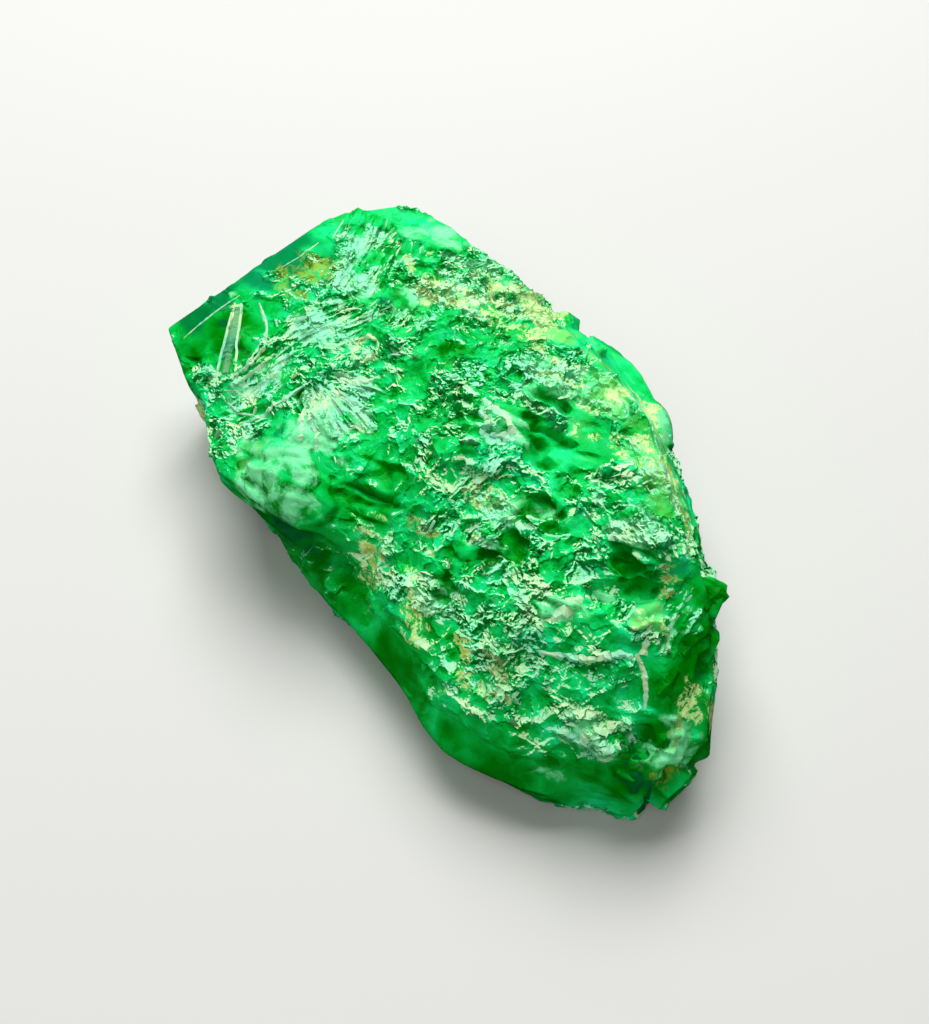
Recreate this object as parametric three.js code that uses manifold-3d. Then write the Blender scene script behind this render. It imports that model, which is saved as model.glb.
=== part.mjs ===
// A rough emerald: one broken lump of beryl, 38 mm long, lying on its flattest side. Millimetres, +Z up.
// +X runs along the length, from the smooth crystal end to the stubby columns at the broken end, and -Y
// is the low side, with the overhanging ledge and the glassy flank. The origin is moved at the end to the
// middle of the resting face.
import * as THREE from "three";
import { ConvexGeometry } from "three/addons/geometries/ConvexGeometry.js";
import { mergeVertices } from "three/addons/utils/BufferGeometryUtils.js";
import Module from "manifold-3d";

const wasm = await Module();
wasm.setup();

// The lump's eight long edges, going round a section from the bottom left. Each has nine stations from -X
// to +X.
const EDGES = {
  footLeft: [
    [-17.6, -5.2, -0.8], [-15.0, -5.8, -0.8], [-10.0, -6.2, -0.8], [-5.0, -6.4, -0.8], [0.0, -6.2, -0.8],
    [5.0, -6.2, -0.8], [10.0, -5.8, -0.8], [13.4, -4.4, -0.8], [16.0, -2.4, -0.8],
  ],
  belly: [
    [-18.2, -6.6, 3.6], [-14.4, -6.8, 3.0], [-10.2, -7.1, 2.8], [-5.0, -7.6, 2.6], [0.4, -8.1, 2.8],
    [5.2, -7.9, 3.0], [10.0, -8.2, 2.8], [14.0, -5.9, 2.6], [16.1, -2.6, 2.0],
  ],
  ledge: [
    [-19.6, -8.0, 6.6], [-14.4, -7.8, 6.3], [-10.9, -9.3, 6.4], [-4.4, -8.3, 6.6], [0.0, -5.8, 6.3],
    [5.0, -6.8, 5.8], [10.2, -6.4, 5.2], [14.2, -4.6, 4.6], [17.2, -2.3, 3.0],
  ],
  lowTop: [
    [-19.4, -4.4, 7.7], [-15.0, -4.6, 8.3], [-10.0, -4.4, 8.8], [-5.0, -4.2, 9.0], [0.0, -3.0, 8.8],
    [5.0, -3.2, 8.8], [10.0, -3.0, 8.0], [14.0, -2.2, 6.7], [17.2, -1.4, 4.6],
  ],
  highTop: [
    [-20.3, 0.8, 8.9], [-15.6, 0.8, 9.6], [-10.0, 1.4, 10.3], [-5.0, 1.8, 10.7], [0.0, 1.8, 10.9],
    [5.0, 1.6, 10.8], [10.0, 1.4, 9.9], [14.0, 0.9, 8.1], [17.0, -0.1, 5.0],
  ],
  crest: [
    [-20.6, 4.2, 9.8], [-16.9, 8.2, 9.8], [-11.8, 9.0, 10.1], [-5.4, 8.6, 10.9], [0.0, 8.3, 11.8],
    [5.0, 7.0, 11.8], [10.0, 5.5, 10.5], [13.6, 4.3, 8.3], [17.2, 1.7, 4.8],
  ],
  waist: [
    [-19.4, 5.4, 5.6], [-16.1, 9.5, 7.0], [-10.6, 10.1, 7.6], [-5.0, 11.2, 7.6], [0.0, 11.4, 7.4],
    [5.4, 9.4, 6.8], [10.4, 7.3, 6.3], [14.2, 5.0, 4.8], [17.5, 2.0, 3.0],
  ],
  footRight: [
    [-17.6, 4.4, -0.8], [-14.8, 6.8, -0.8], [-10.0, 7.8, -0.8], [-5.0, 8.6, -0.8], [0.0, 8.6, -0.8],
    [5.0, 7.8, -0.8], [10.0, 6.0, -0.8], [13.6, 3.6, -0.8], [16.0, 1.0, -0.8],
  ],
};
// How many faces lie between each long edge and the next one round, how many rings lie along the length,
// and how far a corner strays from its even place, as a share of a step.
const STEPS_ROUND = [3, 3, 3, 4, 4, 3, 4, 5];
const STEPS_ALONG = 27;
const STRAY = 0.34;

// The skin's own fracture faces: how wide they are, how far each stands in or out, how hollow and how
// tilted each is, and how far down the whole lies.
const SKIN_BREAK = { size: 4.2, depth: 0.6, scoop: 2.2, tilt: 1.5, drop: 0.8, salt: 11 };
// Where the skin is smoother: the stretch over which each smooth part begins, and the share of the breaks
// left on it. The low flank lies past a place along X and past one towards -Y, the far flank past a
// slanting line towards +Y, and the columns past a slanting line towards +X.
const SMOOTHER = {
  crystalEnd: { from: -18.5, to: -12.5 },
  lowFlank: { from: -1, to: 3, outFrom: 4.5, outTo: 6.2, left: 0.25 },
  farFlank: { from: 8.0, to: 9.8, slant: 0.25, left: 0.4 },
  columns: { from: 15, to: 17, slant: 0.6, left: 0.3 },
};

// Flat faces of the smooth crystal end: a point on each and the way that it faces.
const CRYSTAL_FACES = [
  { at: [-20.0, 0, 5], facing: [-0.985, 0.1, 0.14] },
  { at: [-19.35, -1.9, 7.8], facing: [-0.72, -0.17, 0.67] },
  { at: [-20.3, 2.6, 9.1], facing: [-0.66, 0.3, 0.69] },
  { at: [-19.4, -7.7, 6.6], facing: [-0.3, -0.78, 0.5] },
  { at: [-17.0, -7.25, 4.5], facing: [-0.25, -0.96, -0.1] },
  { at: [-17.4, -4.2, 7.95], facing: [-0.2, -0.3, 0.93] },
];

// Smooth lumps that bulge out of the skin: centre, half sizes, turn about Z in degrees, and how uneven
// each is.
const LUMPS = {
  paleLobe: { at: [-4.9, -6.7, 6.5], half: [2.9, 2.1, 1.9], turn: 12, uneven: 0.03 },
  paleLobeTail: { at: [-8.2, -6.9, 6.3], half: [2.5, 1.8, 1.4], turn: 8, uneven: 0.04 },
  flankKnob: { at: [2.7, 10.0, 7.5], half: [2.0, 1.2, 1.3], turn: -28, uneven: 0.05 },
};

// Angular blocks of crystal and crust that stand out of the skin: centre, half sizes, turn about Z.
const BLOCKS = {
  flankRib: { at: [-0.2, 10.3, 8.1], half: [4.2, 1.2, 1.5], turn: -14 },
  crestKnob: { at: [-4.4, 9.2, 9.2], half: [2.4, 1.6, 1.4], turn: -20 },
  creamWedge: { at: [-7.8, 7.6, 9.7], half: [3.2, 1.6, 1.2], turn: -14 },
  brokenBlock: { at: [9.4, 3.6, 9.6], half: [2.8, 2.4, 2.1], turn: -30 },
  flakyPlate: { at: [0.2, 0.8, 10.6], half: [2.6, 1.7, 0.9], turn: -20 },
  satinPlate: { at: [-7.0, 0.6, 10.2], half: [3.2, 1.6, 0.7], turn: 30 },
  veinLump: { at: [12.4, 1.7, 8.4], half: [1.4, 0.9, 0.9], turn: 40 },
  ochreLump: { at: [12.2, 3.3, 8.6], half: [1.2, 0.9, 0.9], turn: 40 },
  whiteLump: { at: [14.2, -2.4, 5.5], half: [1.9, 1.2, 1.1], turn: 10 },
  greyLump: { at: [16.1, 0.2, 4.7], half: [1.5, 1.6, 1.4], turn: 0 },
  footChip: { at: [-14.4, -7.0, 3.5], half: [1.7, 0.9, 1.3], turn: 15 },
};

// Shell-shaped hollows where chips have come away, given in the same way as the lumps.
const HOLLOWS = {
  underLobe: { at: [-1.6, -8.1, 5.0], half: [3.8, 1.6, 1.4], turn: 18, uneven: 0.08 },
  besideLobe: { at: [-0.4, -5.6, 9.6], half: [2.4, 1.6, 2.0], turn: 25, uneven: 0.1 },
  glassyBowl: { at: [3.4, 3.4, 13.4], half: [3.4, 2.3, 2.6], turn: 8, uneven: 0.06 },
  underBlock: { at: [11.0, 1.3, 10.5], half: [2.5, 0.8, 1.6], turn: 55, uneven: 0.1 },
  midBowl: { at: [6.1, -1.6, 11.2], half: [2.0, 1.4, 1.9], turn: 0, uneven: 0.14 },
  lowBowl: { at: [4.7, -4.1, 9.9], half: [2.6, 1.4, 1.9], turn: 35, uneven: 0.14 },
  rimBowl: { at: [6.2, 1.4, 12.6], half: [2.0, 1.5, 1.9], turn: 30, uneven: 0.14 },
  endBowl: { at: [15.6, 3.4, 6.9], half: [1.3, 1.0, 1.3], turn: 0, uneven: 0.2 },
  endNotch: { at: [16.0, -1.4, 6.1], half: [0.9, 0.8, 1.2], turn: 0, uneven: 0.2 },
};

// Six-sided crystal columns that stand out of the broken end: root, tip, and radius at each.
const COLUMNS = [
  { root: [9.4, 3.6, 7.5], tip: [12.9, 5.8, 6.7], wide: 1.7, narrow: 1.3 },
  { root: [10.8, 2.2, 6.8], tip: [14.2, 4.3, 5.7], wide: 1.7, narrow: 1.3 },
  { root: [12.0, 0.8, 6.0], tip: [15.3, 2.5, 4.9], wide: 1.6, narrow: 1.2 },
  { root: [13.4, 0.2, 4.0], tip: [17.0, 1.3, 3.1], wide: 1.6, narrow: 1.25 },
  { root: [13.8, -0.6, 2.8], tip: [17.7, 0.0, 2.1], wide: 1.7, narrow: 1.35 },
  { root: [15.7, -1.9, -0.8], tip: [16.2, -1.9, 4.6], wide: 1.1, narrow: 0.95 },
];

// Thin blades that lie on the crystal end and fan out over the top: where each starts and stops, its
// width and its height.
const BLADES = [
  { from: [-17.2, -3.6], to: [-13.3, -6.9], width: 0.8, height: 1.0 },
  { from: [-12.6, -6.3], to: [-13.3, -1.4], width: 0.7, height: 0.8 },
  { from: [-12.3, -6.3], to: [-10.9, -2.6], width: 0.7, height: 0.8 },
  { from: [-10.6, -6.9], to: [-8.7, -3.8], width: 0.8, height: 0.9 },
  { from: [-9.0, -2.8], to: [-5.5, -5.8], width: 1.0, height: 0.9 },
  { from: [-9.0, -2.5], to: [-4.6, -4.3], width: 1.2, height: 0.8 },
  { from: [-9.0, -2.1], to: [-4.5, -2.8], width: 1.3, height: 0.8 },
  { from: [-8.9, -1.7], to: [-5.2, -1.2], width: 1.3, height: 0.7 },
];
// How deep a blade's middle lies under the skin, as a share of its height, its half width at each end, as
// shares of its width, and how many sides it has.
const BLADE_SUNK = 0.35;
const BLADE_SHAPE = { root: 0.75, tip: 0.55, sides: 4 };
// Fibres that lie side by side across the crystal end, behind the blades: where the first and the last
// start, how far each runs, the shortest and the longest as shares of that, how far it strays, and its
// width and height.
const FIBRES = {
  count: 13, first: [-18.4, 5.6], last: [-11.4, 8.4], run: [4.4, -6.0], short: 0.65, long: 1.15, stray: 0.9,
  width: 1.25, height: 0.9,
};

// Broken crystal over the top: how far apart, how wide, and how deep each piece sits, as a share of its
// size. Beds are where a piece has come away, and grains still stand.
const BEDS = { spacing: 2.8, small: 1.2, large: 2.2, sunk: -0.2, lean: 0.5, salt: 200 };
const GRAINS = { spacing: 2.1, small: 0.9, large: 2.0, sunk: 0.25, lean: 0.4, salt: 430 };
// The ground that they cover, the lowest that they lie, and the least share of them that stands anywhere.
const BROKEN = { from: [-13.5, -7.2], to: [16.5, 10.6], lowest: 4, least: 0.1 };
// Half sizes of a piece, as shares of its size, and its number of corners. It lies flat on the skin.
// Small ones are commoner, by this power.
const PIECE = { half: [1, 0.62, 0.38], corners: 10, mostlySmall: 1.5 };
const BLOCK_CORNERS = 12;

// Chips broken off round the resting face, on an oval, and shallow ones inside it. Each strays from its
// even place round the oval, by a share of a step, and out from it, by a share of the oval.
const OVAL_STRAY = { round: 0.6, out: 0.1 };
const HEEL = {
  count: 15, middle: [-0.8, 0.7], oval: [17.0, 7.6], small: 2.6, large: 4.4, height: -0.4, lean: 0.9,
  salt: 600,
};
const UNDERSIDE = {
  count: 7, middle: [-1.5, 0.8], oval: [9.5, 3.6], small: 2.4, large: 4.0, height: -0.9, lean: 0.4,
  salt: 700,
};

const UP = new THREE.Vector3(0, 0, 1);
const DOWN = UP.clone().negate();
// Longer than the stone, for cutting tools and rays.
const FAR = 60;

// A repeatable number from 0 to 1 for three whole numbers and a salt.
function chance(i, j, k, salt) {
  const wave = Math.sin(i * 127.1 + j * 311.7 + k * 74.7 + salt * 53.3) * 43758.5453;
  return wave - Math.floor(wave);
}

// Fracture relief at a point, about -0.5 to 0.5: shallow tilted scoops that meet in sharp ridges.
function fracture(point, { size, scoop, tilt, drop, salt }) {
  const cell = point.clone().divideScalar(size).floor();
  let relief = Infinity;
  for (let i = cell.x - 1; i <= cell.x + 1; i++)
    for (let j = cell.y - 1; j <= cell.y + 1; j++)
      for (let k = cell.z - 1; k <= cell.z + 1; k++) {
        const roll = (n) => chance(i, j, k, salt + n);
        const away = new THREE.Vector3(i + roll(1), j + roll(2), k + roll(3)).multiplyScalar(size).sub(point);
        const lean = new THREE.Vector3(roll(4) - 0.5, roll(5) - 0.5, roll(6) - 0.5);
        const floor = scoop * away.lengthSq() / size ** 2 + tilt * lean.dot(away) / size + roll(7) - drop;
        relief = Math.min(relief, floor);
      }
  return relief;
}

// How broken the skin is at a point, from 0 on the smooth crystal end to 1 on the hackly top.
function brokenness({ x, y }) {
  const { smoothstep } = THREE.MathUtils;
  const { crystalEnd, lowFlank, farFlank, columns } = SMOOTHER;
  const offEnd = smoothstep(x, crystalEnd.from, crystalEnd.to);
  const onLow = smoothstep(x, lowFlank.from, lowFlank.to) * smoothstep(-y, lowFlank.outFrom, lowFlank.outTo);
  const onFar = smoothstep(y + farFlank.slant * Math.max(x, 0), farFlank.from, farFlank.to);
  const onColumns = smoothstep(x + columns.slant * y, columns.from, columns.to);
  const kept = (share, left) => 1 - (1 - left) * share;
  return offEnd * kept(onLow, lowFlank.left) * kept(onFar, farFlank.left) * kept(onColumns, columns.left);
}

// The lump's skin: a capped cylinder whose rings are stretched over the eight edges, then broken.
function skin() {
  const curves = Object.values(EDGES).map(
    (points) => new THREE.CatmullRomCurve3(points.map((p) => new THREE.Vector3(...p)), false, "centripetal"),
  );
  const around = STEPS_ROUND.reduce((a, b) => a + b);
  const shape = new THREE.CylinderGeometry(1, 1, 1, around, STEPS_ALONG);
  shape.deleteAttribute("normal");
  shape.deleteAttribute("uv");
  const geometry = mergeVertices(shape);
  const position = geometry.getAttribute("position");
  const vertex = new THREE.Vector3();
  for (let i = 0; i < position.count; i++) {
    vertex.fromBufferAttribute(position, i);
    const atEnd = Math.abs(vertex.y) > 0.49;
    const stray = (n) => (atEnd ? 0 : STRAY * (2 * chance(i, n, 5, 7) - 1));
    const along = 0.5 - vertex.y + stray(1) / STEPS_ALONG;
    const corners = curves.map((curve) => curve.getPoint(along));
    if (Math.hypot(vertex.x, vertex.z) < 0.5) {
      vertex.set(0, 0, 0);
      corners.forEach((corner) => vertex.addScaledVector(corner, 1 / corners.length));
    } else {
      let turn = Math.round(((Math.atan2(vertex.x, vertex.z) / (2 * Math.PI) + 1) % 1) * around) % around;
      let edge = 0;
      while (turn >= STEPS_ROUND[edge]) turn -= STEPS_ROUND[edge++];
      const share = THREE.MathUtils.clamp((turn + (turn ? stray(2) : 0)) / STEPS_ROUND[edge], 0, 1);
      vertex.lerpVectors(corners[edge], corners[(edge + 1) % corners.length], share);
    }
    position.setXYZ(i, vertex.x, vertex.y, vertex.z);
  }
  geometry.computeVertexNormals();
  const outwards = geometry.getAttribute("normal");
  for (let i = 0; i < position.count; i++) {
    vertex.fromBufferAttribute(position, i);
    const relief = SKIN_BREAK.depth * fracture(vertex, SKIN_BREAK) * brokenness(vertex);
    vertex.addScaledVector(new THREE.Vector3().fromBufferAttribute(outwards, i), relief);
    position.setXYZ(i, vertex.x, vertex.y, vertex.z);
  }
  geometry.deleteAttribute("normal");
  return geometry;
}

// A closed solid from a geometry whose shared vertices are merged first.
function solid(geometry) {
  const bare = new THREE.BufferGeometry().setAttribute("position", geometry.getAttribute("position"));
  bare.setIndex(geometry.index);
  const merged = mergeVertices(bare);
  return new wasm.Manifold(
    new wasm.Mesh({
      numProp: 3,
      vertProperties: new Float32Array(merged.getAttribute("position").array),
      triVerts: new Uint32Array(merged.index.array),
    }),
  );
}

// A smooth, slightly uneven lump, or the shape of a hollow.
function lump({ at, half, turn, uneven }) {
  const ball = mergeVertices(new THREE.BufferGeometry().setAttribute(
    "position",
    new THREE.IcosahedronGeometry(1, 1).getAttribute("position"),
  ));
  const position = ball.getAttribute("position");
  const seed = Math.round(at[0] * 10);
  for (let i = 0; i < position.count; i++) {
    const reach = 1 + uneven * (2 * chance(i, seed, 3, 31) - 1);
    position.setXYZ(i, position.getX(i) * reach, position.getY(i) * reach, position.getZ(i) * reach);
  }
  return solid(ball.scale(...half).rotateZ(THREE.MathUtils.degToRad(turn)).translate(...at));
}

// A geometry that stands along Y, laid from one point to another.
function layBetween(shape, from, to) {
  const start = new THREE.Vector3(...from);
  const end = new THREE.Vector3(...to);
  const along = end.clone().sub(start).normalize();
  const turn = new THREE.Quaternion().setFromUnitVectors(new THREE.Vector3(0, 1, 0), along);
  const middle = start.lerp(end, 0.5);
  return shape.applyQuaternion(turn).translate(middle.x, middle.y, middle.z);
}

function column({ root, tip, wide, narrow }) {
  const length = new THREE.Vector3(...tip).distanceTo(new THREE.Vector3(...root));
  return solid(layBetween(new THREE.CylinderGeometry(narrow, wide, length, 6), root, tip));
}

// A long blade with a sharp back, lying on the top between two places and half sunk in it.
function blade({ from, to, width, height }, top) {
  const [start, end] = [from, to].map(([x, y]) => [x, y, top(x, y).z - BLADE_SUNK * height]);
  const length = new THREE.Vector3(...end).distanceTo(new THREE.Vector3(...start));
  const shape = new THREE.CylinderGeometry(BLADE_SHAPE.tip, BLADE_SHAPE.root, length, BLADE_SHAPE.sides);
  return solid(layBetween(shape.scale(width, 1, height), start, end));
}

// A block with flat faces, wrapped round points that lie on an ellipsoid.
function block({ at, half, tilt = [0, 0], turn, facing = UP, corners = BLOCK_CORNERS, seed = at[0] * 10 }) {
  const points = Array.from({ length: corners }, (_, n) => {
    const rise = 2 * chance(n, Math.round(seed), 1, 61) - 1;
    const round = 2 * Math.PI * chance(n, Math.round(seed), 2, 62);
    const level = Math.sqrt(1 - rise * rise);
    const onBall = new THREE.Vector3(level * Math.cos(round), level * Math.sin(round), rise);
    return onBall.multiply(new THREE.Vector3(...half));
  });
  const angles = new THREE.Euler(...tilt, THREE.MathUtils.degToRad(turn));
  const turned = new THREE.Quaternion().setFromEuler(angles);
  const lie = new THREE.Quaternion().setFromUnitVectors(UP, facing).multiply(turned);
  return solid(new ConvexGeometry(points).applyQuaternion(lie).translate(...at));
}

// One broken piece lying on the skin at a place, its size and lie set by chance.
function fragment({ x, y, z, facing }, { small, large, sunk = 0, lean }, roll) {
  const size = THREE.MathUtils.lerp(small, large, roll(4) ** PIECE.mostlySmall);
  return block({
    at: [x, y, z].map((value, axis) => value - sunk * size * facing.getComponent(axis)),
    half: PIECE.half.map((share) => share * size),
    tilt: [lean * (roll(5) - 0.5), lean * (roll(6) - 0.5)],
    turn: 180 * roll(7),
    facing,
    corners: PIECE.corners,
    seed: Math.floor(1e4 * roll(8)),
  });
}

// Broken pieces set over the top, a step apart.
function overTop(top, spec) {
  const made = [];
  for (let x = BROKEN.from[0], i = 0; x < BROKEN.to[0]; x += spec.spacing, i++)
    for (let y = BROKEN.from[1], j = 0; y < BROKEN.to[1]; y += spec.spacing, j++) {
      const roll = (n) => chance(i, j, n, spec.salt);
      const place = top(x + spec.spacing * (roll(1) - 0.5), y + spec.spacing * (roll(2) - 0.5));
      const stands = place && place.z > BROKEN.lowest && roll(3) < Math.max(BROKEN.least, brokenness(place));
      if (!stands) continue;
      made.push(fragment(place, spec, roll));
    }
  return made;
}

// Broken pieces set round an oval at one height.
function roundOval({ count, middle, oval, height, salt, ...spec }) {
  return Array.from({ length: count }, (_, n) => {
    const roll = (m) => chance(n, m, 3, salt);
    const turn = (2 * Math.PI * (n + OVAL_STRAY.round * roll(1))) / count;
    const reach = 1 + OVAL_STRAY.out * (2 * roll(2) - 1);
    const x = middle[0] + reach * oval[0] * Math.cos(turn);
    const y = middle[1] + reach * oval[1] * Math.sin(turn);
    return fragment({ x, y, z: height, facing: UP }, spec, roll);
  });
}

// Cuts off everything past a plane.
function cleave(body, { at, facing }) {
  const cutter = new THREE.BoxGeometry(FAR, FAR, FAR).translate(0, 0, FAR / 2);
  const turn = new THREE.Quaternion().setFromUnitVectors(UP, new THREE.Vector3(...facing).normalize());
  return body.subtract(solid(cutter.applyQuaternion(turn).translate(...at)));
}

// Where the body's top lies over a point, and the way that it faces there, found by a ray from above.
function topOf(body) {
  const mesh = new THREE.Mesh(geometryOf(body));
  const ray = new THREE.Raycaster();
  return (x, y) => {
    ray.set(new THREE.Vector3(x, y, FAR), DOWN);
    const hit = ray.intersectObject(mesh)[0];
    return hit && { x, y, z: hit.point.z, facing: hit.face.normal };
  };
}

function geometryOf(made) {
  const data = made.getMesh();
  const geometry = new THREE.BufferGeometry();
  geometry.setAttribute("position", new THREE.BufferAttribute(new Float32Array(data.vertProperties), 3));
  geometry.setIndex(new THREE.BufferAttribute(new Uint32Array(data.triVerts), 1));
  return geometry;
}

function emeraldSolid() {
  let body = solid(skin());
  for (const face of CRYSTAL_FACES) body = cleave(body, face);
  for (const one of Object.values(LUMPS)) body = body.add(lump(one));
  for (const one of Object.values(BLOCKS)) body = body.add(block(one));
  for (const bed of overTop(topOf(body), BEDS)) body = body.subtract(bed);
  for (const one of Object.values(HOLLOWS)) body = body.subtract(lump(one));
  for (const chip of [...roundOval(HEEL), ...roundOval(UNDERSIDE)]) body = body.subtract(chip);
  for (const one of COLUMNS) body = body.add(column(one));
  const top = topOf(body);
  for (const one of BLADES) body = body.add(blade(one, top));
  for (let n = 0; n < FIBRES.count; n++) {
    const stray = FIBRES.stray * (chance(n, 1, 1, 3) - 0.5);
    const reach = THREE.MathUtils.lerp(FIBRES.short, FIBRES.long, chance(n, 2, 2, 3));
    const share = n / FIBRES.count;
    const from = FIBRES.first.map((first, k) => THREE.MathUtils.lerp(first, FIBRES.last[k], share));
    const to = from.map((start, k) => start + reach * FIBRES.run[k] + stray);
    body = body.add(blade({ ...FIBRES, from, to }, top));
  }
  for (const grain of overTop(top, GRAINS)) body = body.add(grain);
  body = cleave(body, { at: [0, 0, 0], facing: [0, 0, -1] });
  // The outer skin alone is kept, so that pockets closed in between fragments are solid.
  return body.decompose().reduce((a, b) => (a.volume() > b.volume() ? a : b));
}

const stone = new THREE.Mesh(
  geometryOf(emeraldSolid()),
  new THREE.MeshStandardMaterial({ color: 0x0b9444, roughness: 0.35, metalness: 0 }),
);
stone.name = "emerald";
stone.geometry.computeBoundingBox();
const middle = stone.geometry.boundingBox.getCenter(new THREE.Vector3());
const specimen = new THREE.Group();
specimen.position.set(-middle.x, -middle.y, 0);
specimen.add(stone);
export default specimen;
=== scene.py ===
"""A rough emerald, 38 mm long, lying on its flattest side on a pale floor.

Metres, +Z up. Sizes and places on the stone are in millimetres, in the frame's own axes: +X runs from the
smooth crystal end to the broken end, and -Y is the side with the overhanging ledge.
"""
import math
import random

import bmesh
import bpy
import numpy as np
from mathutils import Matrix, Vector
from mathutils.bvhtree import BVHTree


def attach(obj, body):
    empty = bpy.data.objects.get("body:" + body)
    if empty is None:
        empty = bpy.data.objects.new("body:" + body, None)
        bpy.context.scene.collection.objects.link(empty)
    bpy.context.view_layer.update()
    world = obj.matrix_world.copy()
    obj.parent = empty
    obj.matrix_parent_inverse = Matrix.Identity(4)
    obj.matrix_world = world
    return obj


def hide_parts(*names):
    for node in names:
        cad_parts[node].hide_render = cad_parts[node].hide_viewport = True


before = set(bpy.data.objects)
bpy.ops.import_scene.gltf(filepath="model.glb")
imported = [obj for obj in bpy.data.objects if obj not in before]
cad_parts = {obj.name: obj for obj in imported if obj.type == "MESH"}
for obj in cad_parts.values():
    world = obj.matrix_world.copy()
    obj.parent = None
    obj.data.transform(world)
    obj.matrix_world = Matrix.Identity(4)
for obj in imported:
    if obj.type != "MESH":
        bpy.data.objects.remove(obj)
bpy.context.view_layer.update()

# Camera: looks down on the stone from over the ledge side, turned so that the stone's length runs from the
# top left of the upright picture to the bottom right.
MM = 0.001
CAMERA_AZIMUTH = 55
CAMERA_ELEVATION = 52
CAMERA_DISTANCE = 74
CAMERA_TARGET = Vector((0.87, -1.05, 5.0))
CAMERA_LENS = 50
CAMERA_SENSOR = 36


def away(azimuth, elevation):
    """The direction from the stone towards a thing at this azimuth and elevation, in degrees."""
    turn, rise = math.radians(azimuth), math.radians(elevation)
    return Vector((math.sin(turn) * math.cos(rise), -math.cos(turn) * math.cos(rise), math.sin(rise)))


def show(name, data):
    """Puts an object with this data in the scene."""
    shown = bpy.data.objects.new(name, data)
    bpy.context.collection.objects.link(shown)
    return shown


camera_data = bpy.data.cameras.new("camera")
camera_data.lens = CAMERA_LENS
camera_data.sensor_width = CAMERA_SENSOR
camera_data.clip_start = 0.005
camera_data.clip_end = 10
camera = show("camera", camera_data)
view_way = away(CAMERA_AZIMUTH, CAMERA_ELEVATION)
camera.location = (CAMERA_TARGET + view_way * CAMERA_DISTANCE) * MM
camera.rotation_mode = "QUATERNION"
camera.rotation_quaternion = (-view_way).to_track_quat("-Z", "Y")
bpy.context.scene.camera = camera

# The lump: one broken piece of beryl, grown together from crystals and shot through with cream matrix. Its
# skin is the fracture itself, hackly where it crumbled and glassy where it split cleanly. The solid of the
# frame gives the form, which is remeshed finely and broken again at smaller sizes.
LUMP_GRID = 0.09
LUMP_TRIANGLES = 196000
# Where the skin is smooth and glassy: place and reach.
SMOOTH = {
    "crystal side": (-17.1, -7.4, 5.2, 3.6),
    "crystal end": (-18.5, -1.7, 5.0, 4.8),
    "crystal end, far": (-18.3, 2.8, 5.0, 3.8),
    "crystal top": (-15.9, -6.2, 7.6, 2.6),
    "crystal facet": (-14.0, -4.8, 8.5, 2.0),
    "crystal rim": (-17.5, -1.4, 8.4, 2.4),
    "crystal rim, far": (-17.7, 1.6, 9.0, 2.6),
    "crystal rim, end": (-16.9, 4.8, 9.4, 2.0),
    "crystal corner": (-18.3, -7.4, 6.4, 2.4),
    "crystal bevel": (-17.3, -3.5, 8.2, 1.9),
    "pale lobe": (-4.1, -8.6, 7.7, 4.4),
    "lobe tail": (-6.5, -9.0, 7.4, 1.8),
    "green of the lobe": (-2.1, -7.0, 8.2, 1.9),
    "glassy bowl": (3.0, 1.8, 11.0, 2.2),
    "glassy bowl, far": (4.9, 3.6, 11.2, 1.9),
    "knob": (4.3, 9.6, 8.0, 1.7),
    "slope foot": (0.8, 9.6, 8.4, 3.0),
    "slope foot, end": (3.4, 9.8, 8.0, 2.8),
    "crest side": (-3.2, 8.6, 8.8, 2.8),
    "slope start": (-1.6, 8.4, 9.8, 2.4),
    "slope": (-0.3, 8.4, 9.8, 2.3),
    "slope end": (2.7, 8.0, 9.8, 1.8),
    "mint top": (-12.9, 6.8, 9.9, 2.2),
    "mint top, far": (-12.0, 8.6, 8.0, 2.6),
    "far corner": (-15.0, 7.4, 7.8, 2.4),
    "column 1": (14.3, 4.0, 7.6, 2.4),
    "column 2": (15.7, 2.0, 7.3, 2.2),
    "column 3": (16.3, -0.4, 7.2, 2.4),
    "column 4": (17.8, 1.2, 4.2, 2.6),
    "prism": (17.6, -3.2, 3.4, 3.0),
    "glassy foot": (16.3, -4.5, 3.6, 1.8),
    "flank": (5.6, -9.2, 3.6, 3.4),
    "flank foot": (11.0, -8.8, 2.6, 3.7),
    "flank end": (14.6, -7.2, 2.2, 3.2),
    "flank start": (1.7, -9.0, 3.2, 2.3),
    "lobe hollow": (0.0, -5.4, 8.4, 2.0),
    "middle hollow": (6.2, -0.4, 10.3, 0.9),
    "low hollow": (5.7, -5.0, 8.0, 0.9),
    "lower hollow": (7.0, -2.7, 9.0, 0.8),
    "block shade": (11.4, 0.9, 9.6, 1.4),
    "lump of the vein": (13.3, 0.9, 9.5, 1.0),
    "grey lump": (17.6, -1.2, 5.4, 1.2),
    "far flank": (4.8, 7.8, 9.8, 2.6),
    "far flank, low": (7.9, 7.0, 8.6, 2.4),
    "far flank, up": (1.6, 7.8, 10.2, 2.2),
    "white lump": (10.8, -2.1, 9.0, 1.2),
    "triangle": (5.6, -3.6, 8.9, 0.9),
    "drop": (-10.5, -7.7, 7.4, 1.2),
    "wedge": (-12.6, -3.5, 9.3, 0.8),
    "under the ledge": (-6.9, -8.4, 3.6, 3.8),
}
# Where time or solution has rounded it.
ROUNDED = {
    "pale lobe": (-3.8, -8.7, 7.6, 2.6),
    "knob": (4.3, 9.6, 8.0, 1.8),
    "slope": (0.7, 8.4, 9.8, 3.0),
    "mint top": (-12.9, 6.8, 9.9, 2.2),
    "flank": (5.5, -9.0, 4.2, 3.6),
    "flank foot": (10.9, -8.6, 3.0, 3.8),
    "under the ledge": (-6.9, -8.4, 3.6, 3.8),
    "glassy bowl": (3.5, 2.7, 11.0, 2.3),
}
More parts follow.
